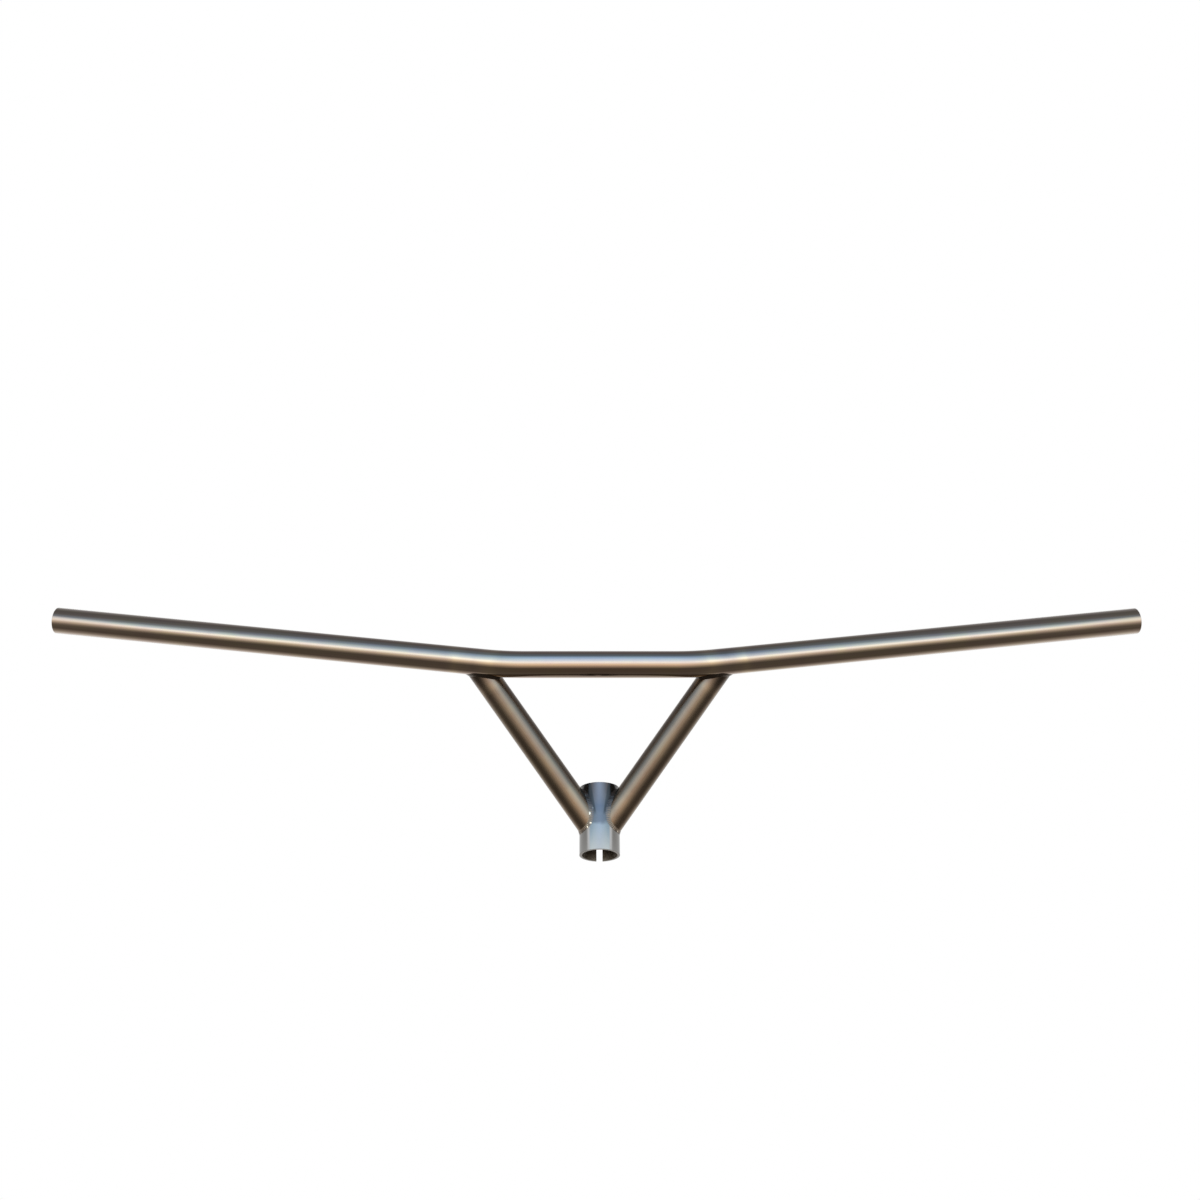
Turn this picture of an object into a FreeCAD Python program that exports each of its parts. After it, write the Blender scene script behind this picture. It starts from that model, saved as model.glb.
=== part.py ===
import FreeCAD, Part
import os
import Sketcher

# A welded handlebar: a bent bar tube stands on two struts, which are coped to a split steerer collar.
# The origin is the centre of the collar's lower end. +Z runs up the steerer's axis, -Y points forwards
# and +X to the rider's left. Lengths are in millimetres and angles in degrees.
DRIVING_SIZES = [
    ("bar_diameter", 22.2, "outside of the bar tube"),
    ("bar_wall", 1.6, "wall of the bar tube"),
    ("bar_width", 930, "between the centres of the two open ends"),
    ("centre_width", 156, "between the corners where the arms' axes meet the centre's axis"),
    ("bend_angle", 14.7, "turn of each bend"),
    ("bend_radius", 130, "radius of each bend's axis"),
    ("bar_roll", 45.2, "tilt of the bar's own plane above the horizontal"),
    ("bar_reach", 56, "bar's axis ahead of the steerer's axis"),
    ("bar_rise", 145.3, "bar's axis above the collar's lower end"),
    ("end_chamfer", 0.4, "broken edge at the bar's ends"),
    ("strut_diameter", 22, "outside of each strut"),
    ("strut_wall", 1.2, "wall of each strut"),
    ("strut_spread", 205, "between the struts' axes at the bar"),
    ("strut_setback", 6, "struts' axes behind the bar's axis, square to the struts' plane"),
    ("strut_cap", 1.2, "thickness of the closed tip behind the bar"),
    ("strut_foot", 15, "height at which the struts' axes meet the steerer's axis"),
    ("collar_bore", 28.6, "hole for the steerer tube"),
    ("collar_wall", 2.3, "wall of the collar"),
    ("collar_length", 57.5, "height of the collar"),
    ("collar_chamfer", 0.4, "broken edge at the collar's ends"),
    ("slot_width", 5, "gap down the back of the collar"),
    ("weld_size", 1.8, "thickness of the beads on the struts"),
    ("boss_weld_size", 1.2, "thickness of the beads on the bosses"),
    ("boss_diameter", 10, "outside of each binder boss"),
    ("boss_length", 7.5, "length of each binder boss"),
    ("bolt_diameter", 5, "thread of each pinch bolt"),
    ("bolt_length", 20, "pinch bolt below its head"),
    ("bolt_spacing", 20, "between the two pinch bolts"),
    ("bolt_clearance", 0.3, "gap around a bolt in its plain hole, and to the collar"),
    ("thread_clearance", 0.05, "gap around a bolt in its threaded hole"),
    ("bolt_chamfer", 0.5, "broken edges of the bolt's head and tip"),
    ("head_diameter", 8.5, "outside of the bolt's head"),
    ("head_height", 5, "height of the bolt's head"),
    ("socket_width", 4, "hexagon socket across its flats"),
    ("socket_depth", 2.5, "depth of the hexagon socket"),
]

SIDES = {"left": 1, "right": -1}
LEVELS = {"upper": 1, "lower": -1}

doc = FreeCAD.newDocument("handlebar")
sizes = doc.addObject("Spreadsheet::Sheet", "sizes")
for row, (alias, value, meaning) in enumerate(DRIVING_SIZES, start=1):
    sizes.set(f"A{row}", meaning)
    sizes.set(f"B{row}", str(value))
    sizes.setAlias(f"B{row}", alias)
doc.recompute()

# Values worked out from the driving sizes. A strut's axis runs from the steerer's axis to the bar's arm,
# outboard of the bend's corner, and passes a little behind the arm's axis.
layout = doc.addObject("App::VarSet", "layout")


def derive(kind, name, expression):
    layout.addProperty(kind, name)
    layout.setExpression(name, expression)


derive("App::PropertyFloat", "bar_radius", "sizes.bar_diameter / 2")
derive("App::PropertyFloat", "strut_radius", "sizes.strut_diameter / 2")
derive("App::PropertyFloat", "collar_radius", "sizes.collar_bore / 2 + sizes.collar_wall")
derive("App::PropertyFloat", "bend_tangent", "sizes.bend_radius * tan(sizes.bend_angle / 2)")
derive("App::PropertyFloat", "joint_outboard", "(sizes.strut_spread - sizes.centre_width) / 2")
derive("App::PropertyFloat", "joint_sweep", "max(layout.joint_outboard; 0) * tan(sizes.bend_angle)")
derive("App::PropertyFloat", "strut_x", "sizes.strut_spread / 2")
derive("App::PropertyFloat", "joint_y", "layout.joint_sweep * cos(sizes.bar_roll) - sizes.bar_reach")
derive("App::PropertyFloat", "joint_top", "sizes.bar_rise + layout.joint_sweep * sin(sizes.bar_roll)")
derive("App::PropertyFloat", "joint_z", "layout.joint_top - sizes.strut_foot")
derive("App::PropertyFloat", "setback_share", "sizes.strut_setback / hypot(layout.joint_y; layout.joint_z)")
derive("App::PropertyFloat", "strut_y", "layout.joint_y + layout.joint_z * layout.setback_share")
derive("App::PropertyFloat", "strut_z", "layout.joint_z - layout.joint_y * layout.setback_share")
derive("App::PropertyFloat", "strut_length", "hypot(layout.strut_x; layout.strut_y; layout.strut_z)")
derive("App::PropertyAngle", "strut_lean", "acos(layout.strut_z / layout.strut_length)")
derive("App::PropertyFloat", "cope_height", "sizes.collar_length + sizes.strut_diameter")
derive("App::PropertyFloat", "bolt_y",
       "layout.collar_radius + sizes.bolt_diameter / 2 + sizes.bolt_clearance")
doc.recompute()


def bind(item, **expressions):
    for name, expression in expressions.items():
        item.setExpression(name, expression)
    return item


def origin_plane(body, role):
    return next(plane for plane in body.Origin.OriginFeatures if plane.Role == role)


def new_sketch(body, name, role):
    sketch = body.newObject("Sketcher::SketchObject", name)
    sketch.AttachmentSupport = [(origin_plane(body, role), "")]
    sketch.MapMode = "FlatFace"
    return sketch


def constrain(sketch, expression, *arguments):
    number = sketch.addConstraint(Sketcher.Constraint(*arguments))
    sketch.setExpression(f"Constraints[{number}]", expression)


# Point numbers within a sketch: a curve's start, end and middle, and the sketch's own origin.
START, END, MIDDLE = range(1, 4)
ORIGIN = -START


def add_circle(sketch, radius):
    value = layout.evalExpression(radius)
    circle = Part.Circle(FreeCAD.Vector(), FreeCAD.Vector(0, 0, 1), value)
    number = sketch.addGeometry(circle, False)
    sketch.addConstraint(Sketcher.Constraint("Coincident", number, MIDDLE, ORIGIN, START))
    constrain(sketch, radius, "Radius", number, value)


def bar_path(body, name):
    """Half of the bar's axis: the straight centre, one bend and one arm."""
    path = new_sketch(body, name, "XY_Plane")
    turn = FreeCAD.Units.Quantity(sizes.bend_angle, FreeCAD.Units.Angle).getValueAs("rad").Value
    corner = sizes.centre_width / 2
    bend_start = FreeCAD.Vector(corner - layout.bend_tangent, 0, 0)
    bend_centre = bend_start + FreeCAD.Vector(0, sizes.bend_radius, 0)
    across = FreeCAD.Rotation(FreeCAD.Vector(0, 0, 1), sizes.bend_angle)
    bend_end = bend_centre + across.multVec(FreeCAD.Vector(0, -sizes.bend_radius, 0))
    along = across.multVec(FreeCAD.Vector(1, 0, 0))
    arm_end = bend_end + along * ((sizes.bar_width / 2 - bend_end.x) / along.x)
    circle = Part.Circle(bend_centre, FreeCAD.Vector(0, 0, 1), sizes.bend_radius)
    straight_down = circle.parameter(bend_start)
    centre = path.addGeometry(Part.LineSegment(FreeCAD.Vector(), bend_start), False)
    bend = path.addGeometry(Part.ArcOfCircle(circle, straight_down, straight_down + turn), False)
    arm = path.addGeometry(Part.LineSegment(bend_end, arm_end), False)
    path.addConstraint(Sketcher.Constraint("Coincident", centre, START, ORIGIN, START))
    path.addConstraint(Sketcher.Constraint("Horizontal", centre))
    path.addConstraint(Sketcher.Constraint("Tangent", centre, END, bend, START))
    path.addConstraint(Sketcher.Constraint("Tangent", bend, END, arm, START))
    constrain(path, "sizes.bend_radius", "Radius", bend, sizes.bend_radius)
    constrain(path, "sizes.bend_angle * 1 deg", "Angle", ORIGIN, arm, turn)
    constrain(path, "sizes.centre_width / 2 - layout.bend_tangent",
              "DistanceX", ORIGIN, START, centre, END, bend_start.x)
    constrain(path, "sizes.bar_width / 2", "DistanceX", ORIGIN, START, arm, END, arm_end.x)
    return path


def bent_bar(name, *radii):
    """A bar along the bent axis, solid inside its first radius or hollow inside its second."""
    body = doc.addObject("PartDesign::Body", name)
    section = new_sketch(body, f"{name}_section", "YZ_Plane")
    for radius in radii:
        add_circle(section, radius)
    path = bar_path(body, f"{name}_path")
    doc.recompute()
    half = body.newObject("PartDesign::AdditivePipe", f"{name}_half")
    half.Profile = section
    half.Spine = (path, ["Edge1", "Edge2", "Edge3"])
    doc.recompute()
    whole = body.newObject("PartDesign::Mirrored", f"{name}_whole")
    whole.Originals = [half]
    whole.MirrorPlane = (origin_plane(body, "YZ_Plane"), [""])
    body.Tip = whole
    bind(body, Placement="placement(vector(0; -sizes.bar_reach; sizes.bar_rise);"
                         " rotation(vector(1; 0; 0); sizes.bar_roll * 1 deg))")
    doc.recompute()
    return body


def cylinder(name, radius, height, placement=None):
    """A round bar along +Z from the origin, or along the placement's own axis."""
    rod = bind(doc.addObject("Part::Cylinder", name), Radius=radius, Height=height)
    if placement:
        bind(rod, Placement=placement)
    return rod


def cut(name, base, *tools):
    """The base less each tool in turn. The last cut carries the name."""
    for number, tool in enumerate(tools, start=1):
        last = number == len(tools)
        result = doc.addObject("Part::Cut", name if last else f"{name}_cut_{number}")
        result.Base = base
        result.Tool = tool
        base = result
    return base


def common(name, base, tool):
    result = doc.addObject("Part::Common", name)
    result.Base = base
    result.Tool = tool
    return result


def bar_tube():
    """The bent tube, with its end edges broken inside and outside."""
    tube = bent_bar("bar_tube", "layout.bar_radius", "layout.bar_radius - sizes.bar_wall")
    whole = tube.Tip
    reach = max(vertex.Point.x for vertex in whole.Shape.Vertexes)
    rims = []
    for number, edge in enumerate(whole.Shape.Edges, start=1):
        round_edge = isinstance(edge.Curve, Part.Circle) and edge.isClosed()
        if round_edge and abs(edge.CenterOfMass.x) > reach - sizes.bar_diameter:
            rims.append(f"Edge{number}")
    broken = tube.newObject("PartDesign::Chamfer", "bar_tube_ends")
    broken.Base = (whole, rims)
    bind(broken, Size="sizes.end_chamfer")
    tube.Tip = broken
    doc.recompute()
    return tube


def steerer_collar():
    """A tube with its end edges broken, split by a slot down its back."""
    collar = doc.addObject("PartDesign::Body", "steerer_collar")
    ring = new_sketch(collar, "collar_section", "XY_Plane")
    add_circle(ring, "layout.collar_radius")
    add_circle(ring, "sizes.collar_bore / 2")
    doc.recompute()
    tube = collar.newObject("PartDesign::Pad", "collar_tube")
    tube.Profile = ring
    bind(tube, Length="sizes.collar_length")
    doc.recompute()
    broken = collar.newObject("PartDesign::Chamfer", "collar_ends")
    flats = [f"Face{number}" for number, face in enumerate(tube.Shape.Faces, start=1)
             if isinstance(face.Surface, Part.Plane)]
    broken.Base = (tube, flats)
    bind(broken, Size="sizes.collar_chamfer")
    doc.recompute()
    gap = new_sketch(collar, "slot_section", "XZ_Plane")
    half = sizes.slot_width / 2
    corners = [FreeCAD.Vector(x, z, 0) for x, z in
               ((-half, 0), (half, 0), (half, sizes.collar_length), (-half, sizes.collar_length))]
    sides = [gap.addGeometry(Part.LineSegment(corners[i], corners[(i + 1) % 4]), False) for i in range(4)]
    for i in range(4):
        gap.addConstraint(Sketcher.Constraint("Coincident", sides[i], END, sides[(i + 1) % 4], START))
        gap.addConstraint(Sketcher.Constraint("Horizontal" if i % 2 == 0 else "Vertical", sides[i]))
    constrain(gap, "-sizes.slot_width / 2", "DistanceX", ORIGIN, START, sides[0], START, -half)
    constrain(gap, "sizes.slot_width / 2", "DistanceX", ORIGIN, START, sides[0], END, half)
    gap.addConstraint(Sketcher.Constraint("PointOnObject", sides[0], START, ORIGIN))
    constrain(gap, "sizes.collar_length", "DistanceY", ORIGIN, START, sides[2], START, sizes.collar_length)
    doc.recompute()
    slot = collar.newObject("PartDesign::Pocket", "collar_slot")
    slot.Profile = gap
    slot.Type = "Length"
    bind(slot, Length="layout.collar_radius")
    collar.Tip = slot
    doc.recompute()
    if slot.Shape.BoundBox.YMax >= broken.Shape.BoundBox.YMax:
        raise RuntimeError("the slot misses the collar's back wall")
    return collar


def along_strut(sign):
    """Placement on a strut's axis, from the steerer's axis towards the bar."""
    return ("placement(vector(0; 0; sizes.strut_foot);"
            f" rotation(vector(-layout.strut_y; {sign} * layout.strut_x; 0); layout.strut_lean))")


def across_slot(start, level):
    """Placement on a bolt's axis, from the given x towards the rider's left."""
    height = f"sizes.collar_length / 2 + {level} * sizes.bolt_spacing / 2"
    return f"placement(vector({start}; layout.bolt_y; {height}); rotation(vector(0; 1; 0); 90 deg))"


bar = bar_tube()
collar = steerer_collar()
bar_core = bent_bar("bar_core", "layout.bar_radius")
bar_skin = bent_bar("bar_skin", "layout.bar_radius + sizes.weld_size")
# The struts are coped to the line of the collar's side, also where they reach above its upper end.
collar_core = cylinder("collar_core", "layout.collar_radius", "layout.cope_height")
collar_skin = cylinder("collar_skin", "layout.collar_radius + sizes.weld_size", "layout.cope_height")
boss_skin = cylinder("boss_skin", "layout.collar_radius + sizes.boss_weld_size", "sizes.collar_length")
nodes = [bar, collar]

for side, sign in SIDES.items():
    place = along_strut(sign)
    core = cylinder(f"{side}_strut_core", "layout.strut_radius", "layout.strut_length", place)
    hollow = cylinder(f"{side}_strut_hollow", "layout.strut_radius - sizes.strut_wall",
                      "layout.strut_length - sizes.strut_cap", place)
    skin = cylinder(f"{side}_strut_skin", "layout.strut_radius + sizes.weld_size",
                    "layout.strut_length + sizes.weld_size", place)
    nodes.append(cut(f"{side}_strut", core, hollow, bar_core, collar_core))
    bar_bead = common(f"{side}_bar_bead", skin, bar_skin)
    nodes.append(cut(f"{side}_bar_weld", bar_bead, core, bar_core))
    collar_bead = common(f"{side}_collar_bead", skin, collar_skin)
    nodes.append(cut(f"{side}_collar_weld", collar_bead, core, collar_core))


def binder_boss(name, start, level, hole_radius):
    """A boss beside the slot, coped to the collar, and the bead around its foot."""
    place = across_slot(start, level)
    core = cylinder(f"{name}_core", "sizes.boss_diameter / 2", "sizes.boss_length", place)
    skin = cylinder(f"{name}_skin", "sizes.boss_diameter / 2 + sizes.boss_weld_size",
                    "sizes.boss_length", place)
    hole = cylinder(f"{name}_hole", hole_radius, "sizes.boss_length", place)
    nodes.append(cut(name, core, hole, collar_core))
    bead = common(f"{name}_bead", skin, boss_skin)
    nodes.append(cut(f"{name}_weld", bead, core, collar_core))


def pinch_bolt(name, level):
    """A socket-head bolt whose head rests on the outer end of its plain boss."""
    seat = "-sizes.slot_width / 2 - sizes.boss_length"
    shank = cylinder(f"{name}_shank", "sizes.bolt_diameter / 2", "sizes.bolt_length - sizes.bolt_chamfer",
                     across_slot(seat, level))
    tip = bind(doc.addObject("Part::Cone", f"{name}_tip"), Radius1="sizes.bolt_diameter / 2",
               Radius2="sizes.bolt_diameter / 2 - sizes.bolt_chamfer", Height="sizes.bolt_chamfer",
               Placement=across_slot(f"{seat} + sizes.bolt_length - sizes.bolt_chamfer", level))
    head = cylinder(f"{name}_head", "sizes.head_diameter / 2", "sizes.head_height - sizes.bolt_chamfer",
                    across_slot(f"{seat} - sizes.head_height + sizes.bolt_chamfer", level))
    crown = bind(doc.addObject("Part::Cone", f"{name}_crown"),
                 Radius1="sizes.head_diameter / 2 - sizes.bolt_chamfer", Radius2="sizes.head_diameter / 2",
                 Height="sizes.bolt_chamfer", Placement=across_slot(f"{seat} - sizes.head_height", level))
    solid = doc.addObject("Part::MultiFuse", f"{name}_solid")
    solid.Shapes = [shank, tip, head, crown]
    socket = doc.addObject("Part::Prism", f"{name}_socket")
    socket.Polygon = 6
    bind(socket, Circumradius="sizes.socket_width / 2 / cos(30)", Height="sizes.socket_depth",
         Placement=across_slot(f"{seat} - sizes.head_height", level))
    return cut(name, solid, socket)


bolts = []
for level_name, level in LEVELS.items():
    binder_boss(f"{level_name}_thread_boss", "sizes.slot_width / 2", level,
                "sizes.bolt_diameter / 2 + sizes.thread_clearance")
    binder_boss(f"{level_name}_head_boss", "-sizes.slot_width / 2 - sizes.boss_length", level,
                "sizes.bolt_diameter / 2 + sizes.bolt_clearance")
    bolts.append(pinch_bolt(f"{level_name}_bolt", level))
pinch_bolts = doc.addObject("Part::Compound", "pinch_bolts")
pinch_bolts.Links = bolts
nodes.append(pinch_bolts)
doc.recompute()

for item in doc.Objects:
    if "Invalid" in item.State or "Error" in item.State:
        raise RuntimeError(f"{item.Label} failed: {item.State}")
for node in nodes:
    if node.Shape.isNull() or not node.Shape.isValid():
        raise RuntimeError(f"{node.Label} has no valid shape")

os.makedirs("parts", exist_ok=True)
for node in nodes:
    node.Shape.exportStep(f"parts/{node.Label}.step")
    print(node.Label, len(node.Shape.Solids), round(node.Shape.Volume, 1))
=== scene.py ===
from math import atan2, ceil, cos, degrees, pi, radians, sin, sqrt, tan

import bmesh
import bpy
from mathutils import Matrix, Vector, noise
from mathutils.bvhtree import BVHTree


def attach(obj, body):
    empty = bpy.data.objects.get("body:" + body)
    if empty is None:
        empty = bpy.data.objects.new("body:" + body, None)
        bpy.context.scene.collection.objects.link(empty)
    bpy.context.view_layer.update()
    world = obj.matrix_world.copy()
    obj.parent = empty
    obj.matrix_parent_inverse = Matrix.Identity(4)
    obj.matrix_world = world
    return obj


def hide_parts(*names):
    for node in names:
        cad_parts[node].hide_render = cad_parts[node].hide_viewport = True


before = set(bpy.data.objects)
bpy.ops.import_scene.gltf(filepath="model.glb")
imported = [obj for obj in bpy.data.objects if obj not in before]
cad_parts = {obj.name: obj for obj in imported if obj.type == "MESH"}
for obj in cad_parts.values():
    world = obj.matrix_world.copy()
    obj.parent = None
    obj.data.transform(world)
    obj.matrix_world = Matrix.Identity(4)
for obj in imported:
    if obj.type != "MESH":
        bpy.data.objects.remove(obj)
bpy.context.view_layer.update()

# shapes are worked in millimetres and scaled to metres as each piece is finished
mm = 0.001
print("frame loaded,", len(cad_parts), "nodes")


# loops of edges: a ring, a loop drawn out from another, rims broken, doubles merged

def vertsOf(items):
    return [item for item in items if isinstance(item, bmesh.types.BMVert)]


def edgesOf(items):
    return [item for item in items if isinstance(item, bmesh.types.BMEdge)]


def edgesAmong(form, verts):
    chosen = set(verts)
    return [edge for edge in form.edges if chosen.issuperset(edge.verts)]


def addRing(form, radius, sides, place):
    made = bmesh.ops.create_circle(form, cap_ends=False, segments=sides, radius=radius, matrix=place)
    return made["verts"], edgesAmong(form, made["verts"])


def drawOut(form, edges, move=(0, 0, 0)):
    grown = bmesh.ops.extrude_edge_only(form, edges=edges)["geom"]
    verts = vertsOf(grown)
    bmesh.ops.translate(form, verts=verts, vec=move)
    inLoop = set(verts)
    return verts, [edge for edge in edgesOf(grown) if inLoop.issuperset(edge.verts)]


def sharpEdges(form, angle=50):
    return [edge for edge in form.edges
            if len(edge.link_faces) == 2 and edge.calc_face_angle() > radians(angle)]


def softenEdges(form, edges, size, steps=3):
    bmesh.ops.bevel(form, geom=edges, offset=size, offset_type="OFFSET", segments=steps, profile=0.5,
                    affect="EDGES", material=-1, clamp_overlap=True)


def settle(form):
    bmesh.ops.remove_doubles(form, verts=form.verts[:], dist=0.002)
    bmesh.ops.recalc_face_normals(form, faces=form.faces[:])


def axisPlace(point, direction):
    return Matrix.Translation(point) @ direction.to_track_quat("Z", "Y").to_matrix().to_4x4()


def finishPiece(form, name, material, node, sharp=40):
    bmesh.ops.scale(form, vec=(mm, mm, mm), verts=form.verts[:])
    mesh = bpy.data.meshes.new(name)
    form.to_mesh(mesh)
    form.free()
    mesh.shade_smooth()
    mesh.set_sharp_from_angle(angle=radians(sharp))
    mesh.materials.append(material)
    piece = bpy.data.objects.new(name, mesh)
    bpy.context.scene.collection.objects.link(piece)
    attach(piece, "root")
    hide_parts(node)


# shader nodes

def newFinish(name, **sockets):
    material = bpy.data.materials.new(name)
    material.use_nodes = True
    shader = material.node_tree.nodes["Principled BSDF"]
    for socket, value in sockets.items():
        shader.inputs[socket.replace("_", " ")].default_value = value
    return material, shader


def wire(material, source, socket):
    if isinstance(source, bpy.types.NodeSocket):
        material.node_tree.links.new(source, socket)
    else:
        socket.default_value = source


def addNode(material, kind, inputs=(), **settings):
    node = material.node_tree.nodes.new("ShaderNode" + kind)
    for key, value in settings.items():
        setattr(node, key, value)
    for socket, source in dict(inputs).items():
        wire(material, source, node.inputs[socket])
    return node


def objectPlace(material):
    return addNode(material, "TexCoord").outputs["Object"]


def surfaceValue(material, name, output="Fac"):
    return addNode(material, "Attribute", attribute_name=name).outputs[output]


def addNoise(material, place, scale, detail=4, roughness=0.55, stretch=(1, 1, 1)):
    stretched = addNode(material, "Mapping", {"Vector": place, "Scale": stretch}).outputs["Vector"]
    inputs = {"Vector": stretched, "Scale": scale, "Detail": detail, "Roughness": roughness}
    return addNode(material, "TexNoise", inputs).outputs["Fac"]


def addRange(material, source, low, high, toLow, toHigh):
    inputs = {"Value": source, "From Min": low, "From Max": high, "To Min": toLow, "To Max": toHigh}
    return addNode(material, "MapRange", inputs).outputs["Result"]


def fromNoise(material, source, low, high):
    # nearly all of a noise lies between 0.3 and 0.7
    return addRange(material, source, 0.3, 0.7, low, high)


def addMath(material, operation, first, second):
    return addNode(material, "Math", {0: first, 1: second}, operation=operation).outputs["Value"]


def addShares(material, first, share, second):
    # first * share + second * (1 - share)
    firstPart = addMath(material, "MULTIPLY", first, share)
    return addMath(material, "ADD", firstPart, addMath(material, "MULTIPLY", second, 1 - share))


def addRamp(material, source, *stops):
    node = addNode(material, "ValToRGB", {"Fac": source})
    ramp = node.color_ramp
    while len(ramp.elements) < len(stops):
        ramp.elements.new(0.5)
    for element, (place, colour) in zip(ramp.elements, stops):
        element.position = place
        element.color = (*colour, 1)
    return node.outputs["Color"]


def addBlend(material, amount, first, second):
    colours = [(*colour, 1) if isinstance(colour, tuple) else colour for colour in (first, second)]
    node = addNode(material, "Mix", {0: amount}, data_type="RGBA")
    for colour, socket in zip(colours, (6, 7)):
        wire(material, colour, node.inputs[socket])
    return node.outputs[2]


def addBump(material, shader, height, strength, distance):
    node = addNode(material, "Bump", {"Height": height, "Strength": strength, "Distance": distance})
    wire(material, node.outputs["Normal"], shader.inputs["Normal"])


def weldHeat(material, place, spots):
    # nearness to the welds, from 1 at the bead to 0 where the heat has not reached
    nearest = None
    for spot, inner, outer in spots:
        distance = addNode(material, "VectorMath", {0: place, 1: Vector(spot) * mm}, operation="DISTANCE")
        near = addRange(material, distance.outputs["Value"], inner * mm, outer * mm, 1, 0)
        nearest = near if nearest is None else addMath(material, "MAXIMUM", nearest, near)
    return nearest


# drawn tube: lengthwise streaks, slow mottling of the bare metal, temper colours by the welds, partly painted
# highlight and painted shade at the joints
barTones = dict(olive=(0.36, 0.31, 0.225), bronze=(0.39, 0.32, 0.25), umber=(0.35, 0.28, 0.215),
                plum=(0.375, 0.295, 0.255), straw=(0.56, 0.46, 0.32), scorchAndShade=(0.15, 0.11, 0.085),
                roughLow=0.05, roughHigh=0.11)
strutTones = dict(olive=(0.18, 0.146, 0.1), bronze=(0.172, 0.136, 0.1), umber=(0.132, 0.102, 0.073),
                  plum=(0.166, 0.125, 0.096), straw=(0.26, 0.2, 0.138), scorchAndShade=(0.07, 0.052, 0.042),
                  roughLow=0.2, roughHigh=0.36)


def tubeFinish(name, tone, spots):
    material, shader = newFinish(name, Metallic=1.0)
    along = surfaceValue(material, "alongTube", "Vector")
    place = objectPlace(material)
    streak = addNoise(material, along, 1, detail=5, roughness=0.6, stretch=(0.012, 1.5, 1.5))
    hair = addNoise(material, along, 1, detail=3, roughness=0.7, stretch=(0.06, 9, 9))
    mottle = addNoise(material, place, 38, detail=5, roughness=0.6)
    smudge = addNoise(material, place, 11, detail=3)
    colour = addRamp(material, addShares(material, streak, 0.55, mottle), (0.34, tone["umber"]),
                     (0.45, tone["plum"]), (0.53, tone["bronze"]), (0.66, tone["olive"]))
    ragged = fromNoise(material, mottle, -0.14, 0.14)
    heat = addMath(material, "ADD", weldHeat(material, place, spots), ragged)
    # temper colours, partly painted light: the bar's bright straw is a painted highlight at the joints, the
    # dark scorch at the strut heads painted shade under the bar
    tempered = addRamp(material, heat, (0.0, tone["bronze"]), (0.3, tone["straw"]),
                       (0.6, tone["plum"]), (0.92, tone["scorchAndShade"]))
    reached = addRange(material, heat, 0.05, 0.55, 0, 0.85)
    wire(material, addBlend(material, reached, colour, tempered), shader.inputs["Base Color"])
    worn = addShares(material, hair, 0.5, smudge)
    rough = fromNoise(material, worn, tone["roughLow"], tone["roughHigh"])
    wire(material, rough, shader.inputs["Roughness"])
    addBump(material, shader, addMath(material, "ADD", hair, streak), 0.06, 0.0001)
    return material


# turned and polished: fine rings round the axis, lighter below the welds, darker and bluer above, paler at
# the top, painted shade on the front flanks beside the struts
collarTones = dict(bright=(0.222, 0.219, 0.212), upperDark=(0.12, 0.12, 0.125), smoke=(0.19, 0.18, 0.165),
                   paintedFlankShade=(0.06, 0.06, 0.06), top=(0.26, 0.2, 0.165), paintedTopFlankShade=(0.14, 0.145, 0.14),
                   bore=(0.19, 0.168, 0.138), upperDarkFrom=21, upperDarkTo=24, topFrom=36, topTo=57, ragged=2,
                   waist=31, waistFade=2, stripHalf=2.5, stripFade=0.8, stripSpread=0.16, frontFade=4,
                   boreRadius=14.7, boreFade=0.2, roughLow=0.05, roughHigh=0.12, roughBore=0.45)


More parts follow.
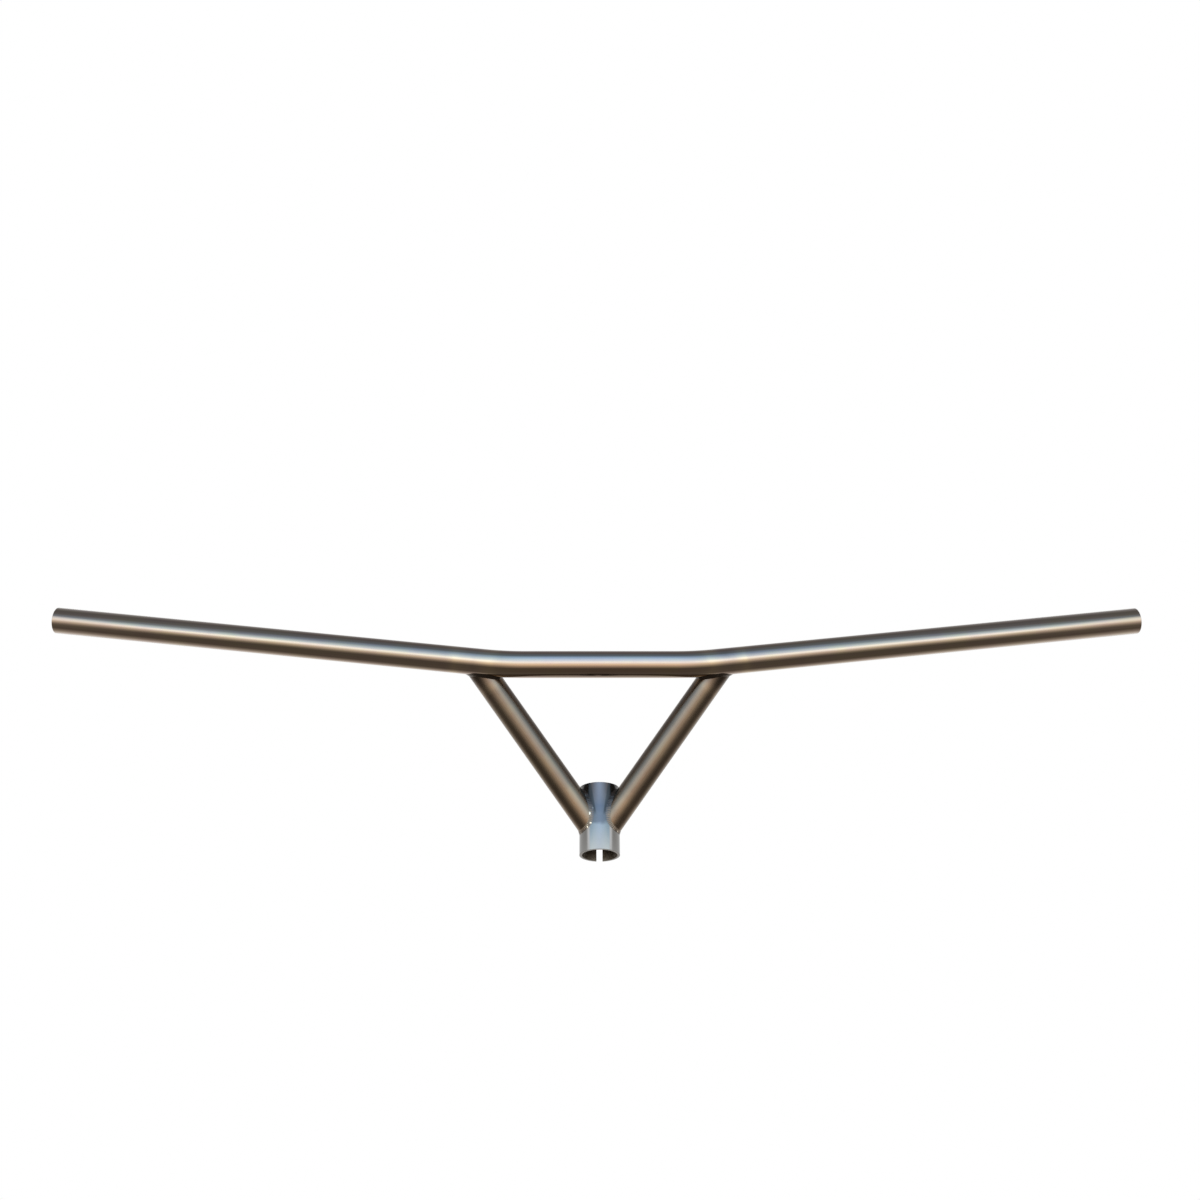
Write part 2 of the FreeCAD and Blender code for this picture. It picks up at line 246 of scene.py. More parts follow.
def collarFinish():
    tone = collarTones
    material, shader = newFinish("polishedCollar", Metallic=1.0)
    place = objectPlace(material)
    rings = addNoise(material, place, 1, detail=3, roughness=0.6, stretch=(25, 25, 2600))
    cloud = addNoise(material, place, 70, detail=4)
    x, y, z = addNode(material, "SeparateXYZ", {"Vector": place}).outputs
    wander = fromNoise(material, cloud, -tone["ragged"] * mm, tone["ragged"] * mm)
    ragged = addMath(material, "ADD", z, wander)
    # darker and bluer above 21 to 24 mm, lighter below
    upperDark = addRange(material, ragged, tone["upperDarkFrom"] * mm, tone["upperDarkTo"] * mm, 0, 1)
    paler = addRange(material, ragged, tone["topFrom"] * mm, tone["topTo"] * mm, 0, 1)
    colour = addBlend(material, upperDark, tone["bright"], addBlend(material, paler, tone["upperDark"], tone["top"]))
    # painted shade darkens the front flanks beside the struts above the waist; the lighter strip between them
    # widens upwards
    aboveWaist = addMath(material, "SUBTRACT", z, tone["waist"] * mm)
    spread = addMath(material, "MULTIPLY", aboveWaist, tone["stripSpread"])
    beyond = addMath(material, "SUBTRACT", addMath(material, "ABSOLUTE", x, 0), spread)
    stripEnd = tone["stripHalf"] + tone["stripFade"]
    flank = addRange(material, beyond, tone["stripHalf"] * mm, stripEnd * mm, 0, 0.9)
    front = addRange(material, y, -tone["frontFade"] * mm, tone["frontFade"] * mm, 1, 0)
    above = addRange(material, aboveWaist, -tone["waistFade"] * mm, tone["waistFade"] * mm, 0, 1)
    shaded = addMath(material, "MULTIPLY", flank, addMath(material, "MULTIPLY", front, above))
    # painted shade on the flanks, darker below the pale top than within it
    flankShaded = addBlend(material, shaded, colour, addBlend(material, paler, tone["paintedFlankShade"], tone["paintedTopFlankShade"]))
    stained = addBlend(material, addRange(material, cloud, 0.5, 0.85, 0, 0.35), flankShaded, tone["smoke"])
    # the bore is duller and browner than the outside
    level = addNode(material, "VectorMath", {0: place, 1: (1, 1, 0)}, operation="MULTIPLY").outputs["Vector"]
    fromAxis = addNode(material, "VectorMath", {0: level}, operation="LENGTH").outputs["Value"]
    boreEnd = tone["boreRadius"] + tone["boreFade"]
    within = addRange(material, fromAxis, tone["boreRadius"] * mm, boreEnd * mm, 1, 0)
    wire(material, addBlend(material, within, stained, tone["bore"]), shader.inputs["Base Color"])
    worn = addShares(material, rings, 0.6, cloud)
    polish = fromNoise(material, worn, tone["roughLow"], tone["roughHigh"])
    dull = addMath(material, "MULTIPLY", within, tone["roughBore"])
    wire(material, addMath(material, "MAXIMUM", polish, dull), shader.inputs["Roughness"])
    addBump(material, shader, rings, 0.05, 0.00008)
    return material


# bead: strut brown at one toe and darker grey at the other, paler on the ripple crests with painted shade in
# the hollows, painted glint flecks, painted shade high up
weldTones = dict(strutToe=(0.168, 0.132, 0.096), middle=(0.15, 0.118, 0.09), wallToe=(0.12, 0.117, 0.117),
                 valleyShade=(0.095, 0.073, 0.056), glint=(0.62, 0.54, 0.42), paintedBeadShade=(0.075, 0.06, 0.05),
                 beadShadeFrom=31, beadShadeTo=40, roughLow=0.2, roughHigh=0.34)


def weldFinish():
    tone = weldTones
    material, shader = newFinish("rippledWeld", Metallic=1.0)
    place = objectPlace(material)
    grit = addNoise(material, place, 900, detail=4, roughness=0.65)
    fleck = addNoise(material, place, 240, detail=2)
    ragged = fromNoise(material, grit, -0.15, 0.15)
    across = addMath(material, "ADD", surfaceValue(material, "across"), ragged)
    colour = addRamp(material, across, (0.1, tone["strutToe"]), (0.5, tone["middle"]), (0.9, tone["wallToe"]))
    # painted shade: darker in the hollows between the ripples and towards the toes
    hollowShade = addRange(material, surfaceValue(material, "crest"), 0.1, 0.6, 0.7, 0)
    hollowShaded = addBlend(material, hollowShade, colour, tone["valleyShade"])
    # painted highlights: bright glint flecks
    glintFlecked = addBlend(material, addRange(material, fleck, 0.63, 0.7, 0, 1), hollowShaded, tone["glint"])
    height = addNode(material, "SeparateXYZ", {"Vector": place}).outputs["Z"]
    # painted shade: every bead darkened above 31 to 40 mm, at the bar and on the tops of the collar's beads
    beadShaded = addRange(material, height, tone["beadShadeFrom"] * mm, tone["beadShadeTo"] * mm, 0, 0.9)
    wire(material, addBlend(material, beadShaded, glintFlecked, tone["paintedBeadShade"]), shader.inputs["Base Color"])
    rough = fromNoise(material, grit, tone["roughLow"], tone["roughHigh"])
    wire(material, rough, shader.inputs["Roughness"])
    addBump(material, shader, grit, 0.06, 0.0001)
    return material


# blackened steel, rubbed bright on its edges
boltTones = dict(dark=(0.10, 0.10, 0.105), worn=(0.32, 0.32, 0.325), roughLow=0.22, roughHigh=0.4)


def boltFinish():
    tone = boltTones
    material, shader = newFinish("blackenedBolt", Metallic=1.0)
    rub = addNoise(material, objectPlace(material), 420, detail=5, roughness=0.65)
    pointed = addNode(material, "NewGeometry").outputs["Pointiness"]
    patchy = addRange(material, rub, 0.5, 0.75, 0, 0.4)
    edge = addMath(material, "ADD", addRange(material, pointed, 0.5, 0.56, 0, 0.8), patchy)
    wire(material, addBlend(material, edge, tone["dark"], tone["worn"]), shader.inputs["Base Color"])
    rough = fromNoise(material, rub, tone["roughLow"], tone["roughHigh"])
    wire(material, rough, shader.inputs["Roughness"])
    addBump(material, shader, rub, 0.08, 0.0001)
    return material


bar = dict(radius=11.1, wall=1.6, rim=0.4, width=930, centreWidth=156, bend=radians(14.7), bendRadius=130,
           roll=radians(45.2), reach=56, rise=145.3, sides=96, bendSteps=24)
bendFrom = bar["centreWidth"] / 2 - bar["bendRadius"] * tan(bar["bend"] / 2)
bendBack = bar["bendRadius"] * (1 - cos(bar["bend"]))
bendTo = Vector((bendFrom + bar["bendRadius"] * sin(bar["bend"]), bendBack, 0))
armDirection = Vector((cos(bar["bend"]), sin(bar["bend"]), 0))
armLength = (bar["width"] / 2 - bendTo.x) / armDirection.x
barPlace = Matrix.Translation((0, -bar["reach"], bar["rise"])) @ Matrix.Rotation(bar["roll"], 4, "X")


def barAxisNear(point):
    # nearest point of the bar's axis and the length along it, in the bar's own plane
    side = -1 if point.x < 0 else 1
    across = abs(point.x)
    turn = atan2(across - bendFrom, bar["bendRadius"] - point.y)
    if turn <= 0:
        near, length = Vector((across, 0, 0)), across
    elif turn < bar["bend"]:
        near = Vector((bendFrom + bar["bendRadius"] * sin(turn), bar["bendRadius"] * (1 - cos(turn)), 0))
        length = bendFrom + bar["bendRadius"] * turn
    else:
        beyond = (Vector((across, point.y, 0)) - bendTo).dot(armDirection)
        near = bendTo + armDirection * beyond
        length = bendFrom + bar["bendRadius"] * bar["bend"] + beyond
    near.x *= side
    return near, length * side


def barNormal(point):
    local = barPlace.inverted() @ point
    return (barPlace.to_3x3() @ (local - barAxisNear(local)[0])).normalized()


def makeBar():
    # half the bar: straight centre, bend and arm, then its mirror image, a wall and broken rims
    form = bmesh.new()
    verts, edges = addRing(form, bar["radius"], bar["sides"], Matrix.Rotation(pi / 2, 4, "Y"))
    verts, edges = drawOut(form, edges, (bendFrom, 0, 0))
    bent = bmesh.ops.spin(form, geom=verts + edges, cent=(bendFrom, bar["bendRadius"], 0), axis=(0, 0, 1),
                          angle=bar["bend"], steps=bar["bendSteps"])
    drawOut(form, edgesOf(bent["geom_last"]), armDirection * armLength)
    bmesh.ops.mirror(form, geom=form.verts[:] + form.edges[:] + form.faces[:], axis="X", merge_dist=0.001)
    settle(form)
    bmesh.ops.solidify(form, geom=form.faces[:], thickness=bar["wall"])
    softenEdges(form, sharpEdges(form), bar["rim"])
    along = form.verts.layers.float_vector.new("alongTube")
    for vert in form.verts:
        near, length = barAxisNear(vert.co)
        offset = (vert.co - near).xy.length
        vert[along] = (length, offset if vert.co.y > near.y else -offset, vert.co.z)
    bmesh.ops.transform(form, matrix=barPlace, verts=form.verts[:])
    return form


collar = dict(bore=14.3, outside=16.6, length=57.5, rim=0.45, slot=5, steps=132)


def collarNormal(point):
    return Vector((point.x, point.y, 0)).normalized()


def makeCollar():
    # the wall's section spun from one side of the slot to the other
    form = bmesh.new()
    half = collar["slot"] / 2
    corners = [(radius, z) for radius in (collar["outside"], collar["bore"]) for z in (0, collar["length"])]
    section = [form.verts.new((half, sqrt(radius ** 2 - half ** 2), z)) for radius, z in corners]
    edges = [form.edges.new((section[a], section[b])) for a, b in ((0, 1), (1, 3), (3, 2), (2, 0))]
    mouth = 2 * atan2(half, collar["outside"])
    turned = bmesh.ops.spin(form, geom=section + edges, cent=(0, 0, 0), axis=(0, 0, -1), angle=2 * pi - mouth,
                            steps=collar["steps"])
    for vert in vertsOf(turned["geom_last"]):
        vert.co.x, vert.co.y = -half, sqrt(vert.co.xy.length_squared - half ** 2)
    bmesh.ops.holes_fill(form, edges=form.edges[:], sides=4)
    settle(form)
    softenEdges(form, sharpEdges(form), collar["rim"])
    return form


# the struts pass a little behind the bar's axis, so that their closed tips end behind the bar
strut = dict(radius=11, wall=1.2, spread=205, foot=15, setback=6, tipDepth=12, streakShift=300, sides=120)


def strutAxis(side):
    outboard = (strut["spread"] - bar["centreWidth"]) / 2
    joint = barPlace @ Vector((side * strut["spread"] / 2, outboard * tan(bar["bend"]), 0))
    foot = Vector((0, 0, strut["foot"]))
    backwards = Vector((0, joint.z - foot.z, foot.y - joint.y)).normalized()
    head = joint + backwards * strut["setback"]
    return foot, head, (head - foot).normalized(), backwards


def cope(verts, direction, tree, limit):
    # slides a loop along the strut until it meets the tube that it is fitted to, or the strut's tip
    for vert in verts:
        hit = tree.ray_cast(vert.co, direction, limit)[0]
        vert.co = hit or vert.co + direction * limit


def atTip(point, head, direction):
    return (head - point).dot(direction) < 0.001


def tipToBar(point, direction, backwards, tree):
    # from the tip's rim square to the strut, forwards to the back of the bar
    inwards = (backwards.dot(direction) * direction - backwards).normalized()
    return tree.ray_cast(point, inwards, strut["tipDepth"])[0] or point.copy()


def makeStrut(side, barTree, collarTree):
    foot, head, direction, backwards = strutAxis(side)
    middle = axisPlace(foot.lerp(head, 0.5), direction)
    half = (head - foot).length / 2
    form = bmesh.new()
    edges = addRing(form, strut["radius"], strut["sides"], middle)[1]
    lower = drawOut(form, edges)[0]
    cope(lower, -direction, collarTree, half)
    upper, upperEdges = drawOut(form, edges)
    cope(upper, direction, barTree, half)
    rim = [edge for edge in upperEdges if all(atTip(vert.co, head, direction) for vert in edge.verts)]
    for vert in drawOut(form, rim)[0]:
        vert.co = tipToBar(vert.co, direction, backwards, barTree)
    settle(form)
    bmesh.ops.solidify(form, geom=form.faces[:], thickness=strut["wall"])
    along = form.verts.layers.float_vector.new("alongTube")
    straight = middle.inverted()
    for vert in form.verts:
        place = straight @ vert.co
        vert[along] = (place.z + side * strut["streakShift"], place.x, place.y)
    return form


def strutSeam(side, atBar, tree):
    # the line of a strut's weld, with the normals of the strut and of the tube it meets
    foot, head, direction, backwards = strutAxis(side)
    centre = foot.lerp(head, 0.5)
    guide = bmesh.new()
    verts = addRing(guide, strut["radius"], bead["points"], axisPlace(centre, direction))[0]
    normals = [(vert.co - centre).normalized() for vert in verts]
    cope(verts, direction if atBar else -direction, tree, (head - foot).length / 2)
    seam = [vert.co.copy() for vert in verts]
    guide.free()
    if not atBar:
        return seam, normals, [collarNormal(point) for point in seam]
    for i, point in enumerate(seam):
        if atTip(point, head, direction):
            seam[i] = tipToBar(point, direction, backwards, tree)
            normals[i] = direction
    # eased where they turn at the tip's corners
    count = len(normals)
    steps = range(-bead["ease"], bead["ease"] + 1)
    eased = [sum((normals[(i + step) % count] for step in steps), Vector()) for i in range(count)]
    return seam, [normal.normalized() for normal in eased], [barNormal(point) for point in seam]


bead = dict(leg=2.4, crown=-0.2, ripple=0.11, pitch=1.5, bow=0.35, rows=9, points=360, ease=6)
bossBead = dict(leg=1.3, crown=0.15, ripple=0.18, pitch=1.2, bow=0.3, rows=6, points=150)
beadEdge = dict(root=0.35, toe=0.06, wander=0.12, wanderScale=0.3)  # the same on every bead


def makeBead(size, seam, baseNormals, wallNormals, baseRadius, wallRadius, closed=True):
    # rows of points drawn across the corner between a tube's end (base) and the tube it meets (wall)
    count = len(seam)
    tangents = []
    for i in range(count):
        ahead = seam[(i + 1) % count] if closed or i + 1 < count else seam[i]
        behind = seam[i - 1] if closed or i > 0 else seam[i]
        tangents.append((ahead - behind).normalized())
    sense = sum(t.dot(w.cross(b)) for t, w, b in zip(tangents, wallNormals, baseNormals))
    sense = 1 if sense > 0 else -1
    lengths = [0.0]
    for i in range(1, count + (1 if closed else 0)):
        lengths.append(lengths[-1] + (seam[i % count] - seam[i - 1]).length)
    ripples = round(lengths[-1] / size["pitch"])
    form = bmesh.new()
    crestLayer = form.verts.layers.float.new("crest")
    acrossLayer = form.verts.layers.float.new("across")
    verts, edges = addRing(form, 1, count if closed else ceil(count * 1.5), Matrix())
    if not closed:
        bmesh.ops.delete(form, geom=verts[count:], context="VERTS")
        verts, edges = form.verts[:], form.edges[:]

    def shapeRow(row, across):
        for i, vert in enumerate(row):
            toBase = baseNormals[i].cross(tangents[i]) * sense
            toWall = tangents[i].cross(wallNormals[i]) * sense
            outwards = (baseNormals[i] + wallNormals[i]).normalized()
            if across is None:
                vert.co = seam[i] - outwards * beadEdge["root"]
                continue
            wander = 1 + beadEdge["wander"] * noise.noise(seam[i] * beadEdge["wanderScale"])
            leg = size["leg"] * wander
            ridge = abs(sin(pi * (ripples * lengths[i] / lengths[-1] + size["bow"] * (2 * across - 1) ** 2)))
            hump = 4 * across * (1 - across)
            height = wander * hump * (size["crown"] + size["ripple"] * ridge)
            sinkBase = (1 - across) ** 3 * (leg ** 2 / (2 * baseRadius) + beadEdge["toe"])
            sinkWall = across ** 3 * (leg ** 2 / (2 * wallRadius) + beadEdge["toe"])
            vert.co = (seam[i] + toBase * leg * (1 - across) + toWall * leg * across + outwards * height
                       - baseNormals[i] * sinkBase - wallNormals[i] * sinkWall)
            vert[crestLayer] = ridge * hump
            vert[acrossLayer] = across

    shapeRow(verts, 0)
    for number in range(1, size["rows"] + 1):
        verts, edges = drawOut(form, edges)
        shapeRow(verts, number / size["rows"])
    for across in (None, 0):  # back along the root to where the rows began
        verts, edges = drawOut(form, edges)
        shapeRow(verts, across)
    settle(form)
    if not closed:
        bmesh.ops.holes_fill(form, edges=form.edges[:], sides=0)
        settle(form)
    return form


boss = dict(radius=5, length=7.5, spacing=20, axisY=19.4, headHole=2.8, threadHole=2.55, rim=0.35, sides=72)


def collarReach(y):
    return max(collar["slot"] / 2, sqrt(max(0, collar["outside"] ** 2 - y ** 2)))


def bossHeight(level):
    return collar["length"] / 2 + level * boss["spacing"] / 2


def makeBoss(side, level, hole):
    # a short sleeve whose foot is coped to the collar
    form = bmesh.new()
    outerEnd = collar["slot"] / 2 + boss["length"]
    place = Matrix.Translation((outerEnd, boss["axisY"], bossHeight(level))) @ Matrix.Rotation(pi / 2, 4, "Y")
    outerEdges = addRing(form, boss["radius"], boss["sides"], place)[1]
    innerEdges = addRing(form, hole, boss["sides"], place)[1]
    bmesh.ops.bridge_loops(form, edges=outerEdges + innerEdges)
    foot, footEdges = drawOut(form, outerEdges)
    for vert in foot:
        vert.co.x = collarReach(vert.co.y)
    mouthEdges = drawOut(form, innerEdges, (-boss["length"], 0, 0))[1]
    bmesh.ops.bridge_loops(form, edges=footEdges + mouthEdges)
    bmesh.ops.scale(form, vec=(side, 1, 1), verts=form.verts[:])
    settle(form)
    rims = [edge for edge in sharpEdges(form)
            if all(abs(abs(vert.co.x) - outerEnd) < 0.01 for vert in edge.verts)]
    softenEdges(form, rims, boss["rim"])
    return form


def makeBossBead(side, level):
    # open at the slot, where both ends are flush with its wall
    lowest = sqrt(collar["outside"] ** 2 - (collar["slot"] / 2) ** 2)
    opening = atan2(sqrt(boss["radius"] ** 2 - (boss["axisY"] - lowest) ** 2), boss["axisY"] - lowest)
    seam, baseNormals = [], []
    for i in range(bossBead["points"]):
        turn = opening * (2 * i / (bossBead["points"] - 1) - 1)
        outwards = Vector((0, -cos(turn), sin(turn)))
        point = Vector((0, boss["axisY"], bossHeight(level))) + outwards * boss["radius"]
        point.x = collarReach(point.y)
        seam.append(point)
        baseNormals.append(outwards)
    wallNormals = [collarNormal(point) for point in seam]
    form = makeBead(bossBead, seam, baseNormals, wallNormals, boss["radius"], collar["outside"], closed=False)
    for vert in form.verts:
        vert.co.x = max(vert.co.x, collar["slot"] / 2)
    bmesh.ops.scale(form, vec=(side, 1, 1), verts=form.verts[:])
    settle(form)
    return form


bolt = dict(radius=2.5, root=2.1, pitch=0.8, length=20, tip=0.5, headRadius=4.25, headHeight=5, crown=0.5,
            underRim=0.25, underShare=0.95, knurl=0.13, socket=4, socketDepth=2.5, sides=96, threadSides=40)


def makeBolt(form, level):
    seat = -collar["slot"] / 2 - boss["length"]
    place = Matrix.Translation((seat, boss["axisY"], bossHeight(level))) @ Matrix.Rotation(pi / 2, 4, "Y")
    before = set(form.verts)
    # head, from its seat up: knurled side, broken rims, hexagon socket
    side, sideEdges = addRing(form, bolt["headRadius"], bolt["sides"], Matrix())
    for vert in side[::2]:
        vert.co *= 1 - bolt["knurl"] / bolt["headRadius"]
    under, underEdges = drawOut(form, sideEdges)
    bmesh.ops.scale(form, vec=(bolt["underShare"], bolt["underShare"], 1), verts=under)
    neckEdges = addRing(form, bolt["radius"], bolt["threadSides"], Matrix())[1]
    bmesh.ops.bridge_loops(form, edges=underEdges + neckEdges)
    bmesh.ops.translate(form, verts=side, vec=(0, 0, -bolt["underRim"]))
    topEdges = drawOut(form, sideEdges, (0, 0, bolt["underRim"] + bolt["crown"] - bolt["headHeight"]))[1]
    crownPlace = Matrix.Translation((0, 0, -bolt["headHeight"]))
    crownEdges = addRing(form, bolt["headRadius"] - bolt["crown"], bolt["sides"], crownPlace)[1]
    bmesh.ops.bridge_loops(form, edges=topEdges + crownEdges)
    hexEdges = addRing(form, bolt["socket"] / 2 / cos(pi / 6), 6, crownPlace)[1]
    bmesh.ops.bridge_loops(form, edges=crownEdges + hexEdges)
    bottomEdges = drawOut(form, hexEdges, (0, 0, bolt["socketDepth"]))[1]
    bmesh.ops.holes_fill(form, edges=bottomEdges, sides=6)
    # shank: thread roots and crests in turn, then a broken tip
    edges = neckEdges
    for turn in range(int((bolt["length"] - bolt["tip"]) / bolt["pitch"])):
        for change in (bolt["root"] / bolt["radius"], bolt["radius"] / bolt["root"]):
            verts, edges = drawOut(form, edges, (0, 0, bolt["pitch"] / 2))
            bmesh.ops.scale(form, vec=(change, change, 1), verts=verts)
    verts, edges = drawOut(form, edges)
    shrink = 1 - bolt["tip"] / bolt["radius"]
    bmesh.ops.scale(form, vec=(shrink, shrink, 1), verts=verts)
    for vert in verts:
        vert.co.z = bolt["length"]
    bmesh.ops.holes_fill(form, edges=edges, sides=0)
    bmesh.ops.transform(form, matrix=place, verts=[vert for vert in form.verts if vert not in before])


bothSides = {"left": 1, "right": -1}
bothLevels = {"upper": 1, "lower": -1}
# where the welds heated the tubes, which also places the painted highlight and shade at the joints: distances
# at which the heat is full and gone
heat = dict(bar=(4, 30), strutHead=(15, 36), strutFoot=(-16, 34), footSpot=(13, -9, 30))
strutHeads = [strutAxis(side)[1] for side in bothSides.values()]
footSpots = [Vector((side, 1, 1)) * Vector(heat["footSpot"]) for side in bothSides.values()]
barHeat = [(head, *heat["bar"]) for head in strutHeads]
strutHeat = [(head, *heat["strutHead"]) for head in strutHeads]
strutHeat += [(spot, *heat["strutFoot"]) for spot in footSpots]
barMetal = tubeFinish("polishedBarTube", barTones, barHeat)
strutMetal = tubeFinish("satinStrutTube", strutTones, strutHeat)
collarMetal = collarFinish()
weldMetal = weldFinish()
boltMetal = boltFinish()
print("finishes ready")

barForm = makeBar()
collarForm = makeCollar()
barTree = BVHTree.FromBMesh(barForm)
collarTree = BVHTree.FromBMesh(collarForm)
finishPiece(barForm, "bentBarTube", barMetal, "bar_tube")
finishPiece(collarForm, "splitCollar", collarMetal, "steerer_collar")
print("bar and collar made")

for name, side in bothSides.items():
    form = makeStrut(side, barTree, collarTree)
    finishPiece(form, f"{name}StrutTube", strutMetal, f"{name}_strut")
    for end, tree, wallRadius in (("bar", barTree, bar["radius"]), ("collar", collarTree, collar["outside"])):
        form = makeBead(bead, *strutSeam(side, end == "bar", tree), strut["radius"], wallRadius)
        finishPiece(form, f"{name}{end.title()}Bead", weldMetal, f"{name}_{end}_weld", sharp=60)
print("struts and their welds made")

boltForm = bmesh.new()
for levelName, level in bothLevels.items():
    for end, side, hole in (("head", -1, boss["headHole"]), ("thread", 1, boss["threadHole"])):
        name, node = f"{levelName}{end.title()}Boss", f"{levelName}_{end}_boss"
        finishPiece(makeBoss(side, level, hole), name, collarMetal, node)
        form = makeBossBead(side, level)
        finishPiece(form, name + "Bead", weldMetal, node + "_weld", sharp=60)
    makeBolt(boltForm, level)
settle(boltForm)
finishPiece(boltForm, "pinchBolts", boltMetal, "pinch_bolts", sharp=30)
print("bosses and bolts made")


# pale floor well below the part, lifted a little where the camera sees it
floor = dict(height=-2.4, size=14, tone=(0.9, 0.9, 0.89), paler=(0.94, 0.94, 0.93), lift=0.35)


def stageMesh(form, name, material):
    mesh = bpy.data.meshes.new(name)
    form.to_mesh(mesh)
    form.free()
    mesh.materials.append(material)
    thing = bpy.data.objects.new(name, mesh)
    bpy.context.scene.collection.objects.link(thing)
    return thing


def makeFloor():
    material, shader = newFinish("palePaint", Roughness=0.8, Emission_Color=(1, 1, 1, 1))
    seen = addNode(material, "LightPath").outputs["Is Camera Ray"]
    wire(material, addMath(material, "MULTIPLY", seen, floor["lift"]), shader.inputs["Emission Strength"])
    cloud = addNoise(material, objectPlace(material), 3)
    colour = addRamp(material, cloud, (0.3, floor["tone"]), (0.7, floor["paler"]))
    wire(material, colour, shader.inputs["Base Color"])
    form = bmesh.new()
    bmesh.ops.create_grid(form, x_segments=1, y_segments=1, size=floor["size"] / 2,
                          matrix=Matrix.Translation((0, 0, floor["height"])))
    stageMesh(form, "paleFloor", material)


# a globe of soft light that only the metal shows: ahead it is brown low down, white level and blue above,
# greyer to the sides, bright towards their edges, and plain white past those and behind
screen = dict(radius=2.2, centre=(0, 0, 0.15), flat=0.3, bright=2.9, around=96, upwards=64,
              behindFrom=0.02, behindTo=0.12)
aheadTones = [(-56, (0.14, 0.115, 0.09)), (-41, (0.62, 0.5, 0.39)), (-21.5, (1.8, 1.5, 1.2)),
              (-4, (2.35, 2.55, 2.75)), (13, (1.5, 2.05, 2.75)), (35, (0.74, 1.25, 2.1)),
              (55, (0.22, 0.35, 0.5)), (85, (0.2, 0.205, 0.23))]
asideTones = [(-56, (0.15, 0.135, 0.115)), (-41, (0.4, 0.36, 0.3)), (-21, (1.3, 1.2, 1.05)),
              (-3, (2.55, 2.8, 2.9)), (13, (1.3, 1.75, 2.15)), (35, (0.42, 0.56, 0.74)),
              (55, (0.24, 0.26, 0.29)), (85, (0.18, 0.18, 0.19))]
edgeTones = [(-55, (0.2, 0.18, 0.155)), (-40, (0.42, 0.38, 0.32)), (-20, (1.1, 1.0, 0.9)),
             (-2, (1.9, 1.9, 1.92)), (14, (2.1, 2.18, 2.3)), (36, (1.75, 1.7, 1.66)),
             (56, (0.9, 0.88, 0.86)), (85, (0.5, 0.5, 0.5))]
plainTones = [(-60, (0.16, 0.14, 0.12)), (-38, (0.5, 0.46, 0.42)), (-16, (1.0, 0.98, 0.95)),
              (6, (1.15, 1.15, 1.15)), (34, (0.82, 0.81, 0.8)), (58, (0.4, 0.42, 0.46)),
              (85, (0.2, 0.2, 0.21))]
sideTones = [(0.1, 0.65, asideTones), (0.79, 0.88, edgeTones), (0.91, 0.97, plainTones)]  # from, to in radii


def bandRamp(material, rise, tones):
    stops = [((angle + 90) / 180, tuple(Vector(tone) / screen["bright"])) for angle, tone in tones]
    return addRamp(material, rise, *stops)


def makeScreen():
    material, shader = newFinish("globeGlow", Base_Color=(0, 0, 0, 1), Specular_IOR_Level=0,
                                 Emission_Strength=screen["bright"])
    rise = addRange(material, surfaceValue(material, "rise"), -90, 90, 0, 1)
    aside = surfaceValue(material, "aside")
    glow = bandRamp(material, rise, aheadTones)
    for start, end, tones in sideTones:
        share = addRange(material, aside, start, end, 0, 1)
        glow = addBlend(material, share, glow, bandRamp(material, rise, tones))
    depth = surfaceValue(material, "behind")
    behind = addRange(material, depth, screen["behindFrom"], screen["behindTo"], 0, 1)
    glow = addBlend(material, behind, glow, bandRamp(material, rise, plainTones))
    wire(material, glow, shader.inputs["Emission Color"])
    form = bmesh.new()
    bmesh.ops.create_uvsphere(form, u_segments=screen["around"], v_segments=screen["upwards"],
                              radius=screen["radius"])
    riseLayer = form.verts.layers.float.new("rise")
    asideLayer = form.verts.layers.float.new("aside")
    behindLayer = form.verts.layers.float.new("behind")
    for vert in form.verts:
        away = sqrt(vert.co.y ** 2 + (screen["flat"] * vert.co.x) ** 2)
        vert[riseLayer] = degrees(atan2(vert.co.z, away))
        vert[asideLayer] = abs(vert.co.x) / screen["radius"]
        vert[behindLayer] = vert.co.y / screen["radius"]
    bmesh.ops.translate(form, verts=form.verts[:], vec=screen["centre"])
    globe = stageMesh(form, "lightGlobe", material)
    for ray in ("camera", "diffuse", "shadow", "transmission", "volume_scatter"):
        setattr(globe, "visible_" + ray, False)


# a soft lamp over the front, for the floor and anything matt
lamp = dict(at=(-0.8, -1.6, 2.4), aim=(0, 0, 0.1), size=1.8, bright=2.2)


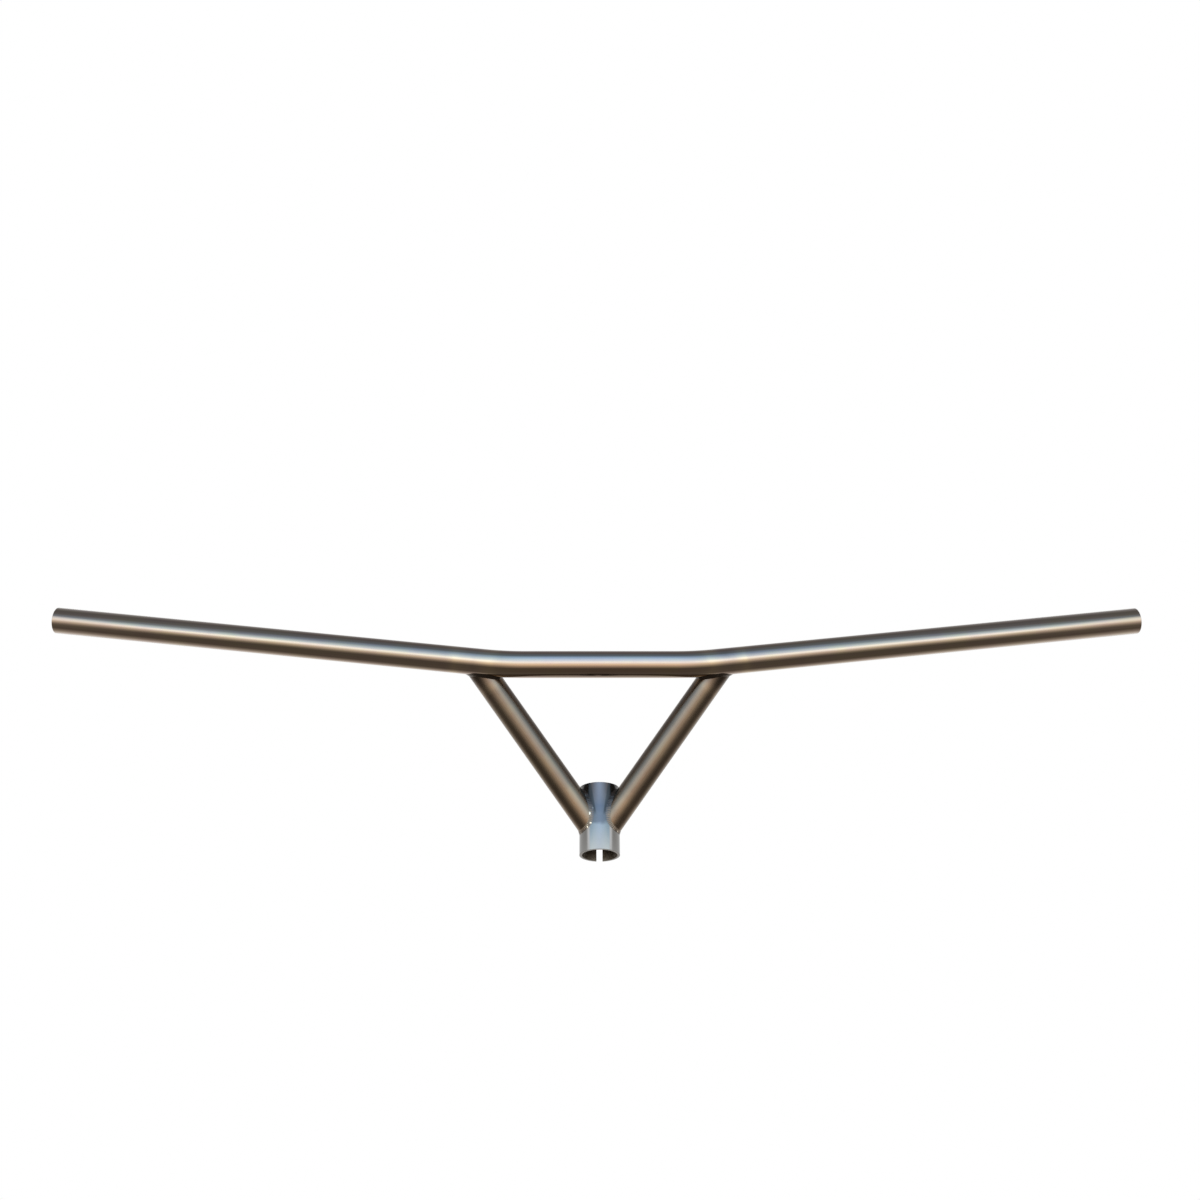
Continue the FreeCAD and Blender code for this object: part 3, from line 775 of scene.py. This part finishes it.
def makeLamp():
    data = bpy.data.lights.new("softLamp", "AREA")
    data.shape = "DISK"
    data.size = lamp["size"]
    data.energy = lamp["bright"] * pi * pi * (lamp["size"] / 2) ** 2  # brightness over the disk's area
    thing = bpy.data.objects.new("softLamp", data)
    thing.location = lamp["at"]
    thing.rotation_euler = (Vector(lamp["aim"]) - Vector(lamp["at"])).to_track_quat("-Z", "Y").to_euler()
    thing.visible_camera = False
    thing.visible_glossy = False
    bpy.context.scene.collection.objects.link(thing)


# white to the camera and in reflections, softer as a light
surround = dict(seen=1.0, ambient=0.5)


def makeSurround():
    world = bpy.data.worlds.new("whiteSurround")
    bpy.context.scene.world = world
    world.use_nodes = True
    background = world.node_tree.nodes["Background"]
    background.inputs["Color"].default_value = (1, 1, 1, 1)
    path = addNode(world, "LightPath").outputs
    seen = addMath(world, "MAXIMUM", path["Is Camera Ray"], path["Is Glossy Ray"])
    seen = addMath(world, "MAXIMUM", seen, path["Is Transmission Ray"])
    strength = addRange(world, seen, 0, 1, surround["ambient"], surround["seen"])
    wire(world, strength, background.inputs["Strength"])


# the camera stands low in front and looks up at the bar
# shift is where the part's origin lies before it: across, away and up
camera = dict(lens=68.43, sensor=36, reach=50, shift=(-0.26, 1861.5, -208.34),
              pitch=radians(-24.96), yaw=radians(0.837), roll=radians(-0.321))


def makeCamera():
    turn = (Matrix.Rotation(camera["roll"], 3, "Y") @ Matrix.Rotation(camera["pitch"], 3, "X")
            @ Matrix.Rotation(camera["yaw"], 3, "Z")).transposed()
    facing = Matrix((turn.col[0], turn.col[2], -turn.col[1])).transposed()
    data = bpy.data.cameras.new("frontCamera")
    data.lens = camera["lens"]
    data.sensor_width = camera["sensor"]
    data.clip_end = camera["reach"]
    eye = bpy.data.objects.new("frontCamera", data)
    eye.matrix_world = Matrix.Translation(turn @ (Vector(camera["shift"]) * -mm)) @ facing.to_4x4()
    bpy.context.scene.collection.objects.link(eye)
    bpy.context.scene.camera = eye


makeFloor()
makeScreen()
makeLamp()
makeSurround()
makeCamera()
bpy.context.scene.view_settings.view_transform = "Standard"
print("stage, light and camera set")
